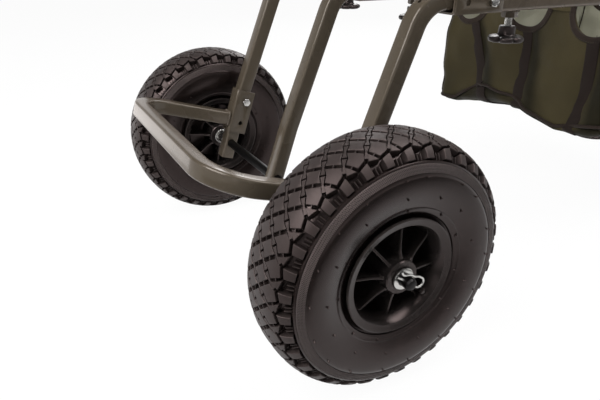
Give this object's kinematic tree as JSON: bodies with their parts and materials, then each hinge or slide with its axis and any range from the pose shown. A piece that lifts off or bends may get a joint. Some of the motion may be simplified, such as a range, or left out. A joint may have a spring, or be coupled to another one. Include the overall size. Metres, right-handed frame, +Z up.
{
  "type": "fishing trolley",
  "caption": "Flat-bed angling trolley of square tube with a sliding wheel frame, air tyres, telescopic rear legs and push handles, clamp knobs and a fabric bag slung under the bed.",
  "frame": {"origin": "bottom centre of the bounding box: the floor under the middle of the trolley", "axes": "+Z up, +Y from the wheels towards the push handles, +X towards the near wheel"},
  "size_m": [0.562, 1.4752, 0.5212],
  "materials": {
    "painted_tube": "glossy dark olive-gunmetal paint",
    "bright_zinc": "bright zinc plate",
    "black_steel": "blackened steel",
    "black_plastic": "moulded satin plastic",
    "tyre_rubber": "matt rubber",
    "soft_rubber": "matt rubber",
    "olive_nylon": "coated woven nylon with dark brown binding"
  },
  "bodies": {
    "bed": {"side_rail_near": "painted_tube", "side_rail_far": "painted_tube", "centre_rail": "painted_tube", "centre_rail_plug": "black_plastic", "rail_bracket_near": "painted_tube", "rail_bracket_far": "painted_tube", "guard_hoop": "painted_tube", "deck_frame": "painted_tube", "deck_cross_bar_1": "painted_tube", "deck_cross_bar_2": "painted_tube", "deck_cross_bar_3": "painted_tube", "leg_socket_near": "painted_tube", "leg_socket_far": "painted_tube", "undercarriage_bag": "olive_nylon"},
    "wheel_frame": {"upright_near": "painted_tube", "upright_middle": "painted_tube", "upright_far": "painted_tube", "front_hoop": "painted_tube", "hoop_bracket_near": "painted_tube", "hoop_bracket_far": "painted_tube", "hoop_bolt_near": "bright_zinc", "hoop_bolt_far": "bright_zinc", "axle": "black_steel", "axle_washer_near": "bright_zinc", "axle_washer_far": "bright_zinc", "axle_spacer_near": "bright_zinc", "axle_spacer_far": "bright_zinc", "hitch_clip_near": "bright_zinc", "hitch_clip_far": "bright_zinc"},
    "wheel_near": {"tyre_near": "tyre_rubber", "inner_tube_near": "soft_rubber", "rim_near": "black_plastic", "hub_bush_near": "bright_zinc"},
    "wheel_far": {"tyre_far": "tyre_rubber", "inner_tube_far": "soft_rubber", "rim_far": "black_plastic", "hub_bush_far": "bright_zinc"},
    "knob_front_near": {"clamp_knob_front_near": "black_plastic", "clamp_screw_front_near": "bright_zinc"},
    "knob_front_middle": {"clamp_knob_front_middle": "black_plastic", "clamp_screw_front_middle": "bright_zinc"},
    "knob_front_far": {"clamp_knob_front_far": "black_plastic", "clamp_screw_front_far": "bright_zinc"},
    "knob_handle_near": {"clamp_knob_handle_near": "black_plastic", "clamp_screw_handle_near": "bright_zinc"},
    "knob_handle_far": {"clamp_knob_handle_far": "black_plastic", "clamp_screw_handle_far": "bright_zinc"},
    "knob_leg_near": {"clamp_knob_leg_near": "black_plastic", "clamp_screw_leg_near": "bright_zinc"},
    "knob_leg_far": {"clamp_knob_leg_far": "black_plastic", "clamp_screw_leg_far": "bright_zinc"},
    "leg_near": {"leg_near": "painted_tube", "foot_near": "black_plastic"},
    "leg_far": {"leg_far": "painted_tube", "foot_far": "black_plastic"},
    "handle_near": {"push_handle_near": "painted_tube", "handle_grip_near": "soft_rubber"},
    "handle_far": {"push_handle_far": "painted_tube", "handle_grip_far": "soft_rubber"}
  },
  "joints": [
    {"name": "wheel_frame_slide", "type": "slide", "parent": "bed", "child": "wheel_frame", "axis": [0, -1, 0], "range_m": [-0.003, 0.095]},
    {"name": "wheel_near_spin", "type": "hinge", "parent": "wheel_frame", "child": "wheel_near", "pos_m": [0.2285, -0.5921, 0.13], "axis": [1, 0, 0], "continuous": true},
    {"name": "wheel_far_spin", "type": "hinge", "parent": "wheel_frame", "child": "wheel_far", "pos_m": [-0.2285, -0.5921, 0.13], "axis": [1, 0, 0], "continuous": true},
    {"name": "knob_front_near_turn", "type": "hinge", "parent": "bed", "child": "knob_front_near", "pos_m": [0.158, -0.3846, 0.318], "axis": [0, 0, 1], "continuous": true},
    {"name": "knob_front_middle_turn", "type": "hinge", "parent": "bed", "child": "knob_front_middle", "pos_m": [0, -0.3846, 0.324], "axis": [0, 0, 1], "continuous": true},
    {"name": "knob_front_far_turn", "type": "hinge", "parent": "bed", "child": "knob_front_far", "pos_m": [-0.158, -0.3846, 0.324], "axis": [0, 0, 1], "continuous": true},
    {"name": "knob_handle_near_turn", "type": "hinge", "parent": "bed", "child": "knob_handle_near", "pos_m": [0.158, 0.2579, 0.322], "axis": [0, 0, 1], "continuous": true},
    {"name": "knob_handle_far_turn", "type": "hinge", "parent": "bed", "child": "knob_handle_far", "pos_m": [-0.158, 0.2579, 0.322], "axis": [0, 0, 1], "continuous": true},
    {"name": "knob_leg_near_turn", "type": "hinge", "parent": "bed", "child": "knob_leg_near", "pos_m": [0.192, 0.3179, 0.2347], "axis": [1, 0, 0], "continuous": true},
    {"name": "knob_leg_far_turn", "type": "hinge", "parent": "bed", "child": "knob_leg_far", "pos_m": [-0.192, 0.3179, 0.2347], "axis": [1, 0, 0], "continuous": true},
    {"name": "leg_near_slide", "type": "slide", "parent": "bed", "child": "leg_near", "axis": [0, 0, 1], "range_m": [-0.048, 0.045]},
    {"name": "leg_far_slide", "type": "slide", "parent": "bed", "child": "leg_far", "axis": [0, 0, 1], "range_m": [-0.048, 0.045]},
    {"name": "handle_near_slide", "type": "slide", "parent": "bed", "child": "handle_near", "axis": [0, 1, 0], "range_m": [-0.03, 0.042]},
    {"name": "handle_far_slide", "type": "slide", "parent": "bed", "child": "handle_far", "axis": [0, 1, 0], "range_m": [-0.03, 0.042]}
  ]
}
